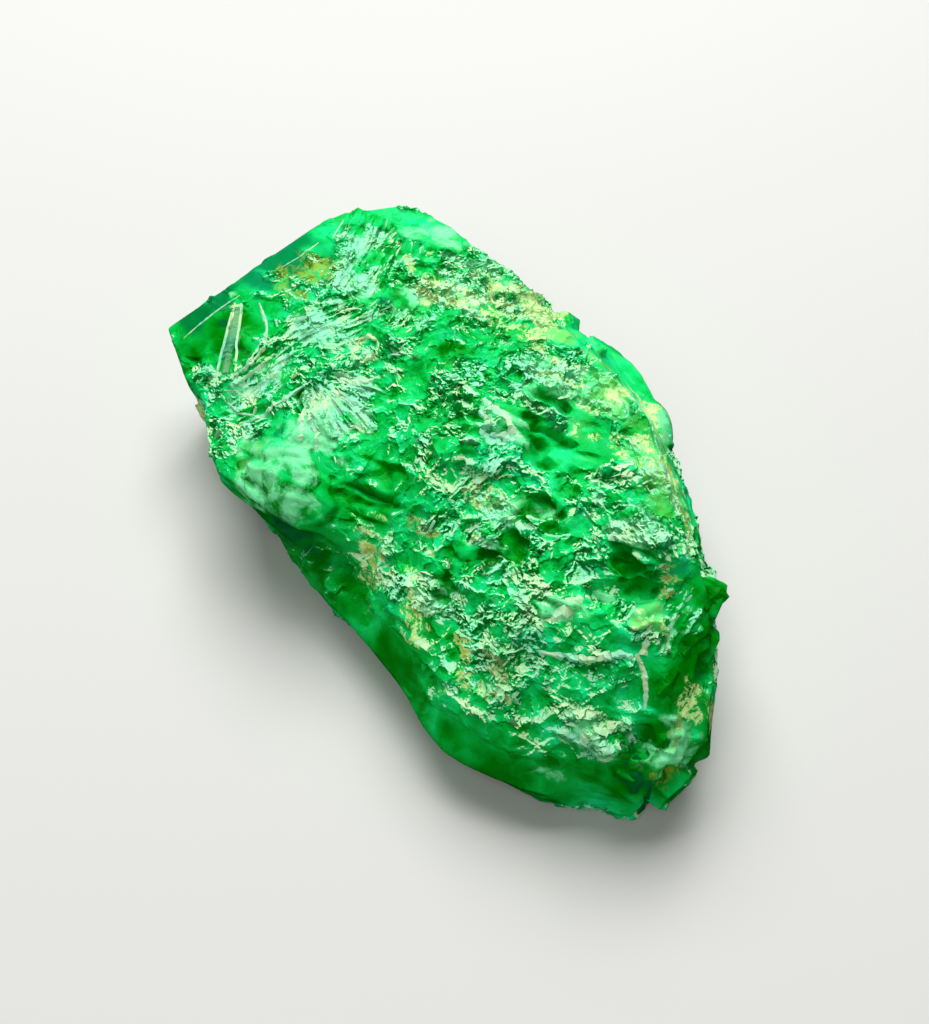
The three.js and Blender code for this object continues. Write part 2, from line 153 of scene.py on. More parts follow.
# Where the crystal is milky, mint to white.
PALE = {
    "top middle": (-7.2, 5.0, 10.6, 2.6),
    "top middle, near": (-8.6, 2.8, 10.7, 1.8),
    "middle flecks": (5.2, -1.4, 10.0, 1.8),
    "ledge flecks": (5.8, -6.6, 7.0, 2.0),
    "lobe end": (-2.7, -8.6, 7.6, 2.2),
    "lobe": (-5.0, -9.0, 7.7, 2.7),
    "lobe top": (-4.8, -7.6, 8.3, 1.9),
    "mint top": (-13.1, 6.6, 10.0, 2.1),
    # The far rim is milky and also painted paler as painted light from behind the stone.
    "far rim": (-9.6, 6.8, 10.0, 1.9),
    "far rim, middle": (-7.4, 7.6, 10.0, 1.6),
    "fan": (-5.5, -4.7, 9.4, 2.6),
    "fan foot": (-5.1, -6.4, 8.9, 1.9),
    "silky band": (-10.9, -2.4, 9.8, 1.6),
    "silky band end": (-7.9, -1.8, 10.1, 1.4),
    "fibres": (-14.7, 3.2, 9.9, 1.9),
    "fibres foot": (-12.3, 0.4, 10.2, 1.5),
    "crest": (1.4, 4.2, 11.7, 2.2),
    "crest foot": (-0.8, 5.2, 11.7, 1.5),
    "knob": (4.3, 9.4, 8.2, 2.4),
    "far flank": (4.4, 7.8, 10.0, 2.4),
    "flaky patch": (0.9, 0.2, 11.1, 1.5),
    "flaky corner": (2.1, 0.6, 11.1, 1.0),
    "white patch": (7.5, 1.7, 10.8, 1.1),
    "block": (10.1, 2.2, 11.0, 2.0),
    "pale lump": (10.9, -2.2, 9.1, 1.6),
    "mint lump": (9.4, -2.6, 9.6, 1.0),
    "column foot": (14.3, 0.5, 8.8, 0.8),
    "white lump": (15.5, -3.9, 6.1, 2.0),
    "foot crumbs": (15.1, -6.1, 3.2, 0.9),
    "edge mottle": (-8.1, -9.0, 7.3, 1.1),
    "blade foot": (-10.5, -6.8, 8.2, 1.5),
    "grey lump": (17.8, -1.2, 5.3, 1.9),
    "triangle": (4.8, -3.3, 9.2, 0.7),
    "blade top": (-16.0, -4.7, 8.3, 0.6),
}
# Where cream matrix shows.
CREAM = {
    "crystal corner": (-17.0, -3.4, 8.4, 0.8),
    "top patch": (-8.0, 4.3, 10.7, 2.2),
    "top streak": (-11.3, 4.0, 10.3, 1.1),
    "side chip": (-14.6, -8.5, 3.3, 1.8),
    "wedge": (-6.2, 6.5, 10.7, 2.1),
    "wedge end": (-4.1, 7.1, 10.9, 2.1),
    "crest line": (-2.4, 6.0, 11.2, 1.7),
    "crest line, middle": (0.5, 5.4, 11.7, 1.2),
    "crest line, end": (3.4, 5.0, 11.8, 1.1),
    "flank band": (6.2, 5.0, 11.4, 1.2),
    "flank band, low": (8.2, 5.6, 10.2, 1.4),
    "knob foot": (3.3, 8.2, 9.2, 1.3),
    "flank streak": (7.0, 6.2, 9.9, 1.7),
    "flank streak, low": (9.5, 5.9, 8.6, 1.4),
    "flank streak, up": (4.4, 6.2, 11.0, 1.3),
    "middle": (3.9, -2.1, 10.0, 1.4),
    "ledge foot": (1.3, -7.2, 5.9, 2.0),
    "ledge hollow": (2.9, -5.0, 7.9, 1.0),
    "low line": (8.7, -7.1, 6.2, 1.1),
    "low line end": (11.0, -6.2, 6.7, 1.2),
    "low spot": (5.4, -7.1, 6.5, 2.0),
    "vein lump": (13.6, 0.4, 9.4, 0.6),
    "end mottle": (16.9, 0.9, 6.1, 1.3),
    "end side": (17.7, 1.8, 4.6, 1.1),
    "ochre lump": (12.5, 2.5, 9.7, 1.1),
    "ring": (-7.4, -1.5, 10.3, 1.0),
    "far flank": (-1.9, 10.2, 6.0, 1.8),
    "far foot": (-11.9, 8.6, 4.0, 1.6),
    "far end": (12.7, 5.4, 4.4, 1.5),
}
# Where iron has stained it ochre and olive.
OCHRE = {
    "olive patch": (-14.7, -0.7, 9.7, 2.3),
    "corner": (-16.8, -3.3, 8.5, 0.5),
    "top": (-8.3, 3.9, 10.5, 0.7),
    "middle": (4.0, -2.0, 10.0, 0.9),
    "ledge foot": (1.7, -7.3, 5.9, 1.4),
    "ledge hollow": (2.9, -5.1, 7.9, 1.1),
    "low spot": (5.4, -7.4, 6.4, 1.3),
    "low spot end": (8.4, -7.2, 6.2, 0.7),
    "lump": (12.5, 2.5, 9.8, 1.0),
    "mint lump": (9.7, -3.6, 9.0, 0.9),
    "flank": (6.1, 7.0, 9.2, 1.5),
    "flank end": (9.7, 5.2, 8.4, 1.3),
    "knob": (5.1, 8.4, 8.6, 0.8),
    "end": (17.9, -1.8, 3.8, 0.8),
    "end top": (17.3, -0.6, 5.8, 0.6),
    "far side": (-5.9, 9.6, 5.0, 2.0),
}
# Where it is clear enough to look deep and dark, and painted shade under the lobe and ledge and in hollows.
CLEAR_AND_SHADED = {
    "crystal side": (-17.1, -7.4, 5.0, 4.0),
    "crystal top": (-15.0, -5.8, 7.9, 2.8),
    "column 3": (16.5, -0.6, 6.9, 2.2),
    "column 4": (18.2, 0.2, 3.4, 3.0),
    "glassy bowl": (2.8, 1.4, 10.9, 1.9),
    "lobe hollow": (0.0, -5.4, 8.5, 2.5),
    "under the lobe": (-3.4, -9.2, 5.2, 4.6),
    "middle hollow": (6.2, -0.4, 10.3, 1.7),
    "low hollow": (5.7, -5.0, 8.0, 1.7),
    "lower hollow": (7.0, -2.7, 9.0, 1.5),
    "block shade": (11.4, 0.9, 9.6, 1.3),
    "prism": (17.7, -3.5, 4.0, 2.8),
    "glassy foot": (16.1, -4.9, 3.8, 1.9),
    "column 1": (14.4, 3.4, 7.6, 3.4),
    "column 2": (15.5, 1.8, 7.2, 3.2),
    "slit": (-7.3, -5.6, 9.2, 0.9),
    "flank": (6.6, -8.8, 3.4, 4.2),
    "flank start": (1.2, -8.9, 4.2, 3.0),
    "flank end": (12.9, -7.6, 2.4, 4.4),
    "under the ledge": (-8.9, -8.4, 3.0, 4.4),
    "satin patch": (-3.9, 2.4, 11.0, 1.1),
}
# Where it looks teal, mostly along the rim, and painted teal shade under the lobe and on shaded planes.
TEAL = {
    "crystal rim": (-17.8, -6.4, 7.0, 2.0),
    "crystal rim, middle": (-17.9, -4.2, 7.6, 2.0),
    "crystal rim, far": (-17.7, -0.6, 8.6, 2.9),
    "crystal rim, end": (-17.9, 1.8, 9.0, 1.8),
    "teal patch": (-9.8, 0.9, 10.6, 1.2),
    "under the lobe": (-3.3, -8.8, 5.2, 2.2),
    "blade": (-14.2, -6.0, 8.0, 0.9),
    "prism": (18.1, -2.9, 3.6, 1.0),
}
# Where it looks lime green and soft.
LIME = {
    "flank": (3.6, 6.8, 11.2, 3.2),
    "flank middle": (6.7, 6.4, 10.2, 3.2),
    "flank end": (9.5, 5.2, 9.4, 2.6),
    "lump of the vein": (13.3, 0.9, 9.5, 0.9),
    "wedge side": (-1.5, 7.4, 10.8, 1.4),
    "lobe tail": (-6.5, -9.0, 7.6, 1.2),
}
# Where few white flecks lie though the skin is rough.
CLEAN = {
    "streaky green": (-2.3, -4.6, 8.8, 2.6),
    "streaky green, up": (-3.8, -1.6, 9.9, 1.6),
    "green top": (-4.5, 0.2, 10.3, 1.4),
    "satin patch": (-3.9, 2.4, 11.0, 1.3),
    "green middle": (-9.5, 2.6, 10.6, 1.2),
    "bowl wall": (4.3, 3.9, 11.2, 2.0),
    "block foot": (8.6, -0.9, 10.2, 1.3),
    "low green": (4.0, -5.4, 7.8, 1.2),
    "beside the vein": (12.4, -3.3, 8.1, 1.7),
    "beside the vein, up": (13.8, -1.8, 8.6, 1.6),
    "below the vein": (15.6, -1.9, 7.2, 1.5),
    "column tops": (14.2, 3.8, 8.0, 1.6),
    "column ends": (16.0, 0.4, 7.2, 2.2),
    "low flank": (9.1, -7.0, 5.0, 1.6),
    "end foot": (13.5, -5.4, 5.6, 1.8),
}
# Where the skin swells or sinks, by this much at the middle: place, reach, height.
SWELLS = {
    "glassy bowl": (3.2, 2.2, 11.0, 1.9, -0.8),
    "lobe hollow": (0.0, -5.3, 8.4, 2.0, -0.6),
    "middle hollow": (6.2, -0.4, 10.3, 1.6, -0.5),
    "low hollow": (5.7, -5.0, 8.0, 1.6, -0.45),
    "lower hollow": (7.1, -2.8, 9.4, 1.4, -0.45),
    "under the block": (11.6, 0.9, 9.7, 1.4, -0.3),
    "slit": (-7.4, -5.5, 9.2, 0.8, -0.5),
    "slit, upper": (-7.8, -4.6, 9.5, 0.6, -0.4),
    "oval of the ring": (-7.4, -1.5, 10.3, 0.6, -0.2),
    "flaky patch": (0.9, 0.3, 11.1, 2.2, 0.4),
    "white lump": (10.8, -2.1, 9.1, 1.2, 0.45),
    "lump of the vein": (13.6, 0.5, 9.4, 1.0, 0.45),
    "low white lump": (15.4, -4.0, 6.1, 1.5, 0.4),
    "grey lump": (17.8, -1.2, 5.3, 1.2, 0.35),
    "block": (10.4, 2.2, 11.2, 1.9, 0.35),
    "drop": (-10.6, -7.6, 7.4, 0.9, 0.2),
    "lobe": (-4.4, -8.5, 7.9, 2.6, 0.5),
    "notch of the crest": (-1.6, 7.9, 9.8, 1.2, 0.45),
    "foot of the prism": (17.8, -2.4, 1.0, 1.2, 0.4),
    "above the bowl": (1.8, 3.6, 11.3, 1.5, 0.35),
}
# Zones of silky threads: where they lie, and which way they run. A fan's threads spread from its root.
SILK = {
    "fan": {"spots": ((-5.9, -4.0, 9.6, 2.2), (-4.9, -5.4, 9.0, 2.2)), "root": (-8.6, -4.5, 9.9)},
    "fibres": {
        "spots": ((-15.1, 3.6, 9.9, 2.6), (-13.1, 1.4, 10.2, 2.4), (-11.9, 3.4, 10.2, 1.8)),
        "way": (0.6, -0.8, 0.08),
    },
    "silky band": {"spots": ((-11.2, -2.6, 9.7, 2.6), (-9.7, -1.0, 10.3, 2.2)), "way": (0.3, 0.95, 0.1)},
    "ribs": {"spots": ((-10.7, -5.8, 8.8, 2.0), (-9.1, -6.8, 8.2, 1.6)), "way": (0.2, 0.9, 0.4)},
    "flank": {
        "spots": ((4.6, 7.0, 10.7, 2.4), (7.4, 6.2, 9.8, 2.4)), "way": (0.94, -0.1, -0.3), "threads": 0.3,
    },
    "column foot": {"spots": ((13.9, 1.6, 9.0, 1.4), (14.7, 0.0, 8.6, 1.2)), "way": (0.4, -0.85, -0.2)},
}
# Slow waves that make the edges of marks uneven, five of each: wave length and reach.
EDGE_WAVES = ((4.0, 0.22), (1.8, 0.2), (0.8, 0.12))
WAVES_OF_EACH = 5
# How many times longer than wide the break is along silky threads, and how far out a fan is drawn.
PRESSED = 7
FAN_REACH = 4.5
# Each patch of skin, about this wide, splintered its own way, and breaks and white flecks lie in clusters.
PATCH = 1.4
CLUSTER = 1.7
# The cells of the break bend about this much, in waves this long.
BEND_REACH = 0.9
BEND_WAVE = 10 / 9
# Widths and depths of the cells of the break, and how much of it reaches the walls.
BREAK = {
    "Large": 2.8, "Large depth": 0.45, "Middle": 1.3, "Middle depth": 0.36, "Small": 0.58,
    "Small depth": 0.18, "Tiny": 0.27, "Tiny depth": 0.09, "Threads": 0.36, "Threads depth": 0.19,
    "On walls": 0.42,
}


def spread(places, spots):
    """How strongly each place, in millimetres, lies in a list of spots, from 0 to 1."""
    share = np.zeros(len(places))
    for x, y, z, reach in spots:
        share = np.maximum(share, 1 - np.linalg.norm(places - (x, y, z), axis=1) / reach)
    return share


def wander(places):
    """The places, each moved up to half a millimetre or so by the slow waves."""
    waves = np.random.default_rng(3)
    moved = places.copy()
    for size, reach in EDGE_WAVES:
        for _ in range(WAVES_OF_EACH):
            way = waves.normal(size=3)
            way *= 2 * math.pi / size / np.linalg.norm(way)
            swing = np.sin(places @ way + waves.uniform(0, 2 * math.pi))
            moved += np.outer(swing, reach * waves.normal(size=3))
    return moved


def store(mesh, name, values):
    """Keeps one number, or one vector, for each corner of a mesh under a name."""
    values = np.asarray(values, dtype=np.float32)
    kind, field = ("FLOAT_VECTOR", "vector") if values.ndim == 2 else ("FLOAT", "value")
    mesh.attributes.new(name, kind, "POINT").data.foreach_set(field, values.ravel())


def places_of(mesh):
    """The mesh's corners as an array."""
    places = np.empty(len(mesh.vertices) * 3)
    mesh.vertices.foreach_get("co", places)
    return places.reshape(-1, 3)


def finish_modifiers(piece):
    """Turns a piece's modifiers into plain mesh."""
    depsgraph = bpy.context.evaluated_depsgraph_get()
    mesh = bpy.data.meshes.new_from_object(piece.evaluated_get(depsgraph))
    piece.modifiers.clear()
    piece.data = mesh


def settle(piece):
    """Takes a piece from millimetres to metres, no lower than the floor, and fits it to the frame."""
    places = places_of(piece.data)
    places[:, 2] = np.maximum(places[:, 2], 0)
    piece.data.vertices.foreach_set("co", (places * MM).ravel())
    piece.data.update()
    piece.data.polygons.foreach_set("use_smooth", [False] * len(piece.data.polygons))
    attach(piece, "root")
    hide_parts("emerald")


def add(tree, kind, inputs=(), **settings):
    """Adds a node with its settings. An input, by name or number, gets a value or another node's output."""
    node = tree.nodes.new(kind)
    for name, value in settings.items():
        setattr(node, name, value)
    for key, value in dict(inputs).items():
        if isinstance(key, int):
            socket = node.inputs[key]
        else:
            socket = next(s for s in node.inputs if s.enabled and s.name == key)
        if isinstance(value, bpy.types.Node):
            value = next(s for s in value.outputs if s.enabled)
        if isinstance(value, bpy.types.NodeSocket):
            tree.links.new(value, socket)
        else:
            socket.default_value = value
    return node


def new_tree(name, sizes):
    """A Geometry Nodes tree with a geometry going in and out, and inputs named and typed as these values."""
    kinds = {float: "NodeSocketFloat", int: "NodeSocketInt", str: "NodeSocketString"}
    tree = bpy.data.node_groups.new(name, "GeometryNodeTree")
    tree.interface.new_socket("Geometry", in_out="OUTPUT", socket_type="NodeSocketGeometry")
    tree.interface.new_socket("Geometry", in_out="INPUT", socket_type="NodeSocketGeometry")
    for label, value in sizes.items():
        tree.interface.new_socket(label, in_out="INPUT", socket_type=kinds[type(value)])
    return tree, tree.nodes.new("NodeGroupInput").outputs, tree.nodes.new("NodeGroupOutput").inputs


def run_tree(piece, tree, values):
    """Runs a tree on a piece with these values for its named inputs, and keeps the result as plain mesh."""
    modifier = piece.modifiers.new(tree.name, "NODES")
    modifier.node_group = tree
    for socket in tree.interface.items_tree:
        if socket.in_out == "INPUT" and socket.name in values:
            modifier[socket.identifier] = values[socket.name]
    finish_modifiers(piece)


def any_side(tree, texture):
    """A texture's colours as ways to any side."""
    return add(
        tree, "ShaderNodeVectorMath", {0: texture.outputs["Color"], 1: (0.5,) * 3}, operation="SUBTRACT"
    )


def weighed(tree, total, parts):
    """A value plus each of the parts times its weight."""
    for part, weight in parts:
        total = add(tree, "ShaderNodeMath", {0: part, 1: weight, 2: total}, operation="MULTIPLY_ADD")
    return total


def fracture_relief(tree, place, size, seed, steep_floor):
    """Shell-shaped scoops this wide, whose tilted floors meet in sharp ridges: about -0.3 to 0.7."""
    apart = (seed, seed * 1.7, seed * 0.6)
    shifted = add(tree, "ShaderNodeVectorMath", {0: place, 1: apart}, operation="ADD")
    scale = add(tree, "ShaderNodeMath", {0: 1.0, 1: size}, operation="DIVIDE")
    cells = add(tree, "ShaderNodeTexVoronoi", {"Vector": shifted, "Scale": scale})
    scoop = add(tree, "ShaderNodeMath", {0: cells.outputs["Distance"], 1: 2.0}, operation="POWER")
    across = add(
        tree, "ShaderNodeVectorMath", {0: shifted, 1: cells.outputs["Position"]}, operation="SUBTRACT"
    )
    steep = add(tree, "ShaderNodeVectorMath", {0: across, "Scale": scale}, operation="SCALE")
    tilt = add(tree, "ShaderNodeVectorMath", {0: any_side(tree, cells), 1: steep}, operation="DOT_PRODUCT")
    both = weighed(tree, scoop, [(tilt.outputs["Value"], steep_floor)])
    return add(tree, "ShaderNodeMath", {0: both, 1: 0.25}, operation="SUBTRACT")


# Bring the solid in, in millimetres, and lay an even fine grid over it.
joined = bmesh.new()
joined.from_mesh(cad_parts["emerald"].data)
bmesh.ops.remove_doubles(joined, verts=joined.verts, dist=1e-7)
bmesh.ops.scale(joined, vec=(1 / MM,) * 3, verts=joined.verts)
lump_mesh = bpy.data.meshes.new("emerald_lump")
joined.to_mesh(lump_mesh)
joined.free()
lump = show("emerald_lump", lump_mesh)
grid = lump.modifiers.new("grid", "REMESH")
grid.mode = "VOXEL"
grid.voxel_size = LUMP_GRID
finish_modifiers(lump)

# Keep the marks at each corner.
places = places_of(lump.data)
wandered = wander(places)
MARKS = {
    "smooth": SMOOTH, "rounded": ROUNDED, "pale": PALE, "cream": CREAM, "ochre": OCHRE, "deep": CLEAR_AND_SHADED,
    "teal": TEAL, "lime": LIME, "clean": CLEAN,
}
for mark, spots in MARKS.items():
    store(lump.data, mark, spread(wandered, spots.values()))
swell = np.zeros(len(places))
for x, y, z, reach, rise in SWELLS.values():
    swell += rise * np.sin(math.pi / 2 * spread(wandered, [(x, y, z, reach)])) ** 2
store(lump.data, "swell", swell)

# In silky parts a second set of coordinates, pressed together along the threads, draws the break out long.
silk_share = np.zeros(len(places))
thread_share = np.zeros(len(places))
thread_way = np.zeros_like(places)
woven = places.copy()
for zone in SILK.values():
    zone_share = spread(wandered, zone["spots"])
    zone_way = places - zone["root"] if "root" in zone else np.tile(zone["way"], (len(places), 1))
    way_length = np.linalg.norm(zone_way, axis=1, keepdims=True)
    zone_way = zone_way / way_length
    if "root" in zone:
        pressed = zone_way * (FAN_REACH + way_length / PRESSED)
    else:
        run = np.sum(places * zone_way, axis=1, keepdims=True)
        pressed = places - zone_way * run * (1 - 1 / PRESSED)
    stronger = zone_share > silk_share
    silk_share[stronger] = zone_share[stronger]
    thread_share[stronger] = zone_share[stronger] * zone.get("threads", 1.0)
    thread_way[stronger] = zone_way[stronger]
    woven[stronger] = pressed[stronger]
store(lump.data, "silk", silk_share)
store(lump.data, "threads", thread_share)
store(lump.data, "grain", thread_way)
store(lump.data, "woven", woven)

# Break the skin: soften the solid's flat faces, then sink and lift scoops of three sizes and a fine crumble.
tree, given, result = new_tree("break the skin", BREAK)
mark_of = {
    name: add(tree, "GeometryNodeInputNamedAttribute", {"Name": name})
    for name in ("smooth", "rounded", "pale", "deep", "clean", "silk", "swell")
}
place = tree.nodes.new("GeometryNodeInputPosition")
soft = add(tree, "GeometryNodeBlurAttribute", {"Value": place, "Iterations": 3}, data_type="FLOAT_VECTOR")
softer = add(tree, "GeometryNodeBlurAttribute", {"Value": place, "Iterations": 40}, data_type="FLOAT_VECTOR")
eased_share = add(tree, "ShaderNodeMapRange", {"Value": mark_of["rounded"], "From Max": 0.5})
where = add(tree, "ShaderNodeMix", {"Factor": eased_share, "A": soft, "B": softer}, data_type="VECTOR")
eased = add(tree, "GeometryNodeSetPosition", {"Geometry": given["Geometry"], "Position": where})
bend = add(tree, "ShaderNodeTexNoise", {"Vector": place, "Scale": 1 / BEND_WAVE, "Detail": 3.0})
bent = add(
    tree, "ShaderNodeVectorMath", {0: any_side(tree, bend), 1: (BEND_REACH,) * 3, 2: place},
    operation="MULTIPLY_ADD",
)
woven_place = add(tree, "GeometryNodeInputNamedAttribute", {"Name": "woven"}, data_type="FLOAT_VECTOR")
scoops = {}
for label, at, seed, steep_floor in (
    ("Large", bent, 3.1, 0.5),
    ("Middle", bent, 7.7, 0.6),
    ("Small", bent, 12.9, 1.3),
    ("Tiny", bent, 17.3, 1.5),
    ("Threads", woven_place, 21.9, 0.9),
):
    scoop = fracture_relief(tree, at, given[label], seed, steep_floor)
    scoops[label] = add(tree, "ShaderNodeMath", {0: scoop, 1: given[label + " depth"]}, operation="MULTIPLY")
relief = add(tree, "ShaderNodeMath", {0: scoops["Large"], 1: scoops["Middle"]}, operation="ADD")
hackle = add(
    tree, "ShaderNodeTexNoise", {"Vector": place, "Scale": 1 / CLUSTER, "Detail": 4.0, "Roughness": 0.6}
)
hackle = weighed(tree, hackle, [
    (relief, 0.3), (mark_of["smooth"], -0.6), (mark_of["clean"], -0.5), (mark_of["pale"], 0.12),
    (mark_of["deep"], -0.4),
])
hackle = add(
    tree, "ShaderNodeMapRange", {"Value": hackle, "From Min": 0.42, "From Max": 0.54},
    interpolation_type="SMOOTHSTEP",
)
# Small breaks are deepest in the hackly clusters, and silky parts have pleats in their place.
small_share = add(tree, "ShaderNodeMapRange", {"Value": hackle, "To Min": 0.16})
crumbs = weighed(tree, relief, [(scoops["Small"], small_share), (scoops["Tiny"], hackle)])
pleats = weighed(tree, scoops["Threads"], [(relief, 0.5)])
silky = add(tree, "ShaderNodeMapRange", {"Value": mark_of["silk"], "From Min": 0.15, "From Max": 0.4})
crumbs = add(tree, "ShaderNodeMix", {"Factor": silky, "A": crumbs, "B": pleats})
roughness = add(
    tree, "ShaderNodeMapRange", {"Value": mark_of["smooth"], "From Max": 0.4, "To Min": 1.0, "To Max": 0.04}
)
# The top broke hackly, the walls split more cleanly.
normal = tree.nodes.new("GeometryNodeInputNormal")
even = add(tree, "GeometryNodeBlurAttribute", {"Value": normal, "Iterations": 25}, data_type="FLOAT_VECTOR")
steepness = add(tree, "ShaderNodeSeparateXYZ", {0: even}).outputs["Z"]
on_top = add(
    tree, "ShaderNodeMapRange",
    {"Value": steepness, "From Min": 0.1, "From Max": 0.65, "To Min": given["On walls"]},
)
level = add(tree, "ShaderNodeMath", {0: roughness, 1: on_top}, operation="MULTIPLY")
pleated = add(tree, "ShaderNodeMath", {0: silky, 1: 0.6}, operation="MULTIPLY")
level = add(tree, "ShaderNodeMath", {0: level, 1: pleated}, operation="MAXIMUM")
height = weighed(tree, mark_of["swell"], [(crumbs, level)])
skin_patches = add(tree, "ShaderNodeTexVoronoi", {"Vector": bent, "Scale": 1 / PATCH})
noted = eased
for name, value in (("even", even), ("patch", any_side(tree, skin_patches))):
    noted = add(
        tree, "GeometryNodeStoreNamedAttribute", {"Geometry": noted, "Name": name, "Value": value},
        data_type="FLOAT_VECTOR",
    )
lift = add(tree, "ShaderNodeVectorMath", {0: normal, "Scale": height}, operation="SCALE")
broken = add(tree, "GeometryNodeSetPosition", {"Geometry": noted, "Offset": lift})
for name, value in (("relief", crumbs), ("rough", level), ("hackle", hackle)):
    broken = add(
        tree, "GeometryNodeStoreNamedAttribute", {"Geometry": broken, "Name": name, "Value": value}
    )
real = add(tree, "GeometryNodeRealizeInstances", {"Geometry": broken})
paint = add(tree, "GeometryNodeSetMaterial", {"Geometry": real})
tree.links.new(paint.outputs[0], result["Geometry"])


def linear(code):
    """An sRGB hex colour as linear red, green, blue and alpha."""
    parts = [int(code[i : i + 2], 16) / 255 for i in (1, 3, 5)]
    return (*[c / 12.92 if c <= 0.04045 else ((c + 0.055) / 1.055) ** 2.4 for c in parts], 1.0)


# Emerald, the green beryl coloured by chromium, as it broke: a glassy lustre on clean splits, white sparkle
# where it crumbled, light sinking a millimetre or two into it, and milky, cream and rusty parts.
emerald = bpy.data.materials.new("rough emerald, broken beryl")
emerald.use_nodes = True
nodes = emerald.node_tree
nodes.nodes.clear()
# Widths of the patterns in it, and how far they bend.
SWAY_WIDTH = 1.4
SWAY_REACH = 1.6
BROAD_WIDTH = 4.0
MIDDLE_WIDTH = 0.9
SPLIT_WIDTH = 0.7
CLOUD_WIDTH = 0.8
GRIT_WIDTH = 0.36
TINT_WIDTH = 1.5
FLECK_WIDTH = 0.17
SHARD_WIDTH = 0.22
# White flecks are this many times longer than wide.
FLECK_LENGTH = 4
coords = add(nodes, "ShaderNodeTexCoord")
spot = add(nodes, "ShaderNodeVectorMath", {0: coords.outputs["Object"], "Scale": 1 / MM}, operation="SCALE")
marks = {
    name: add(nodes, "ShaderNodeAttribute", attribute_name=name).outputs["Fac"]
    for name in (
        "smooth", "pale", "silk", "cream", "ochre", "deep", "teal", "lime", "relief", "hackle", "chip",
        "turned",
    )
}
sway = add(nodes, "ShaderNodeTexNoise", {"Vector": spot, "Scale": 1 / SWAY_WIDTH, "Detail": 3.0})
swayed = add(
    nodes, "ShaderNodeVectorMath", {0: any_side(nodes, sway), 1: (SWAY_REACH,) * 3, 2: spot},
    operation="MULTIPLY_ADD",
)
broad = add(
    nodes, "ShaderNodeTexNoise", {"Vector": spot, "Scale": 1 / BROAD_WIDTH, "Detail": 3.0, "Roughness": 0.6}
)
middle = add(
    nodes, "ShaderNodeTexNoise",
    {"Vector": swayed, "Scale": 1 / MIDDLE_WIDTH, "Detail": 5.0, "Roughness": 0.6},
)
splits = add(nodes, "ShaderNodeTexVoronoi", {"Vector": swayed, "Scale": 1 / SPLIT_WIDTH})
split_tone = add(nodes, "ShaderNodeSeparateColor", {0: splits.outputs["Color"]})

# The green's lightness: lower in clear parts, with painted shade in hollows and painted light on ridges and
# on faces turned to the lights, and each split's own tone.
calm = add(
    nodes, "ShaderNodeMapRange", {"Value": marks["smooth"], "From Max": 0.4, "To Min": 0.55, "To Max": 0.2}
)
mottle = add(nodes, "ShaderNodeMath", {0: middle, 1: 0.5}, operation="SUBTRACT")
tone = weighed(nodes, 0.375, [
    (mottle, calm), (marks["relief"], 0.5), (broad, 0.5), (split_tone, 0.1), (marks["turned"], 0.3),
    (marks["deep"], -0.38), (marks["lime"], 0.3),
])
# The greens run from a clear hollow in painted shade to a thin bright edge.
green = add(nodes, "ShaderNodeValToRGB", {0: tone})
ramp = green.color_ramp
STOPS = ((0.2, "#004000"), (0.4, "#007404"), (0.56, "#04b43e"), (0.7, "#10cc66"), (0.88, "#18e08c"))
while len(ramp.elements) < len(STOPS):
    ramp.elements.new(0.5)
for element, (at, code) in zip(ramp.elements, STOPS):
    element.position = at
    element.color = linear(code)


def edged(mark, source, stray, half_edge, cut=0.45):
    """A mark with a ragged edge: its share, pulled about by a noise and cut."""
    near = add(nodes, "ShaderNodeMapRange", {"Value": mark, "From Max": 0.3})
    centred = add(nodes, "ShaderNodeMath", {0: source, 1: 0.5}, operation="SUBTRACT")
    centred = add(nodes, "ShaderNodeMath", {0: centred, 1: near}, operation="MULTIPLY")
    ragged = weighed(nodes, mark, [(centred, stray)])
    return add(
        nodes, "ShaderNodeMapRange",
        {"Value": ragged, "From Min": cut - half_edge, "From Max": cut + half_edge},
        interpolation_type="SMOOTHSTEP",
    )


# Clear parts with painted shade, teal parts with painted teal shade, lime parts, milky parts, cream matrix
# and
# rust: the share of each, its colour and how much of it there is at most.
cloud = add(
    nodes, "ShaderNodeTexNoise",
    {"Vector": swayed, "Scale": 1 / CLOUD_WIDTH, "Detail": 6.0, "Roughness": 0.62},
)
grit = add(
    nodes, "ShaderNodeTexNoise",
    {"Vector": swayed, "Scale": 1 / GRIT_WIDTH, "Detail": 5.0, "Roughness": 0.75},
)
whiter = weighed(nodes, cloud, [(marks["silk"], 0.3), (marks["pale"], 0.35)])
milky = weighed(nodes, marks["pale"], [(marks["silk"], 0.06)])
milk = add(
    nodes, "ShaderNodeMix", {"Factor": whiter, "A": linear("#24d474"), "B": linear("#86ecac")},
    data_type="RGBA",
)
LAYERS = (
    (edged(marks["deep"], broad, 0.8, 0.3, 0.35), linear("#009408"), 0.45),
    (edged(marks["teal"], broad, 1.2, 0.25, 0.3), linear("#005c34"), 0.75),
    (edged(marks["lime"], broad, 1.2, 0.35, 0.35), linear("#86d460"), 0.65),
    (edged(milky, cloud, 2.4, 0.3), milk, 1.0),
    (edged(marks["cream"], grit, 5.0, 0.22, 0.4), linear("#d2f6a0"), 0.9),
    (edged(marks["ochre"], grit, 4.5, 0.3, 0.45), linear("#96ac30"), 0.8),
)
colour = green
for layer_share, tint, most in LAYERS:
    laid_on = add(nodes, "ShaderNodeMath", {0: layer_share, 1: most}, operation="MULTIPLY")
    colour = add(nodes, "ShaderNodeMix", {"Factor": laid_on, "A": colour, "B": tint}, data_type="RGBA")
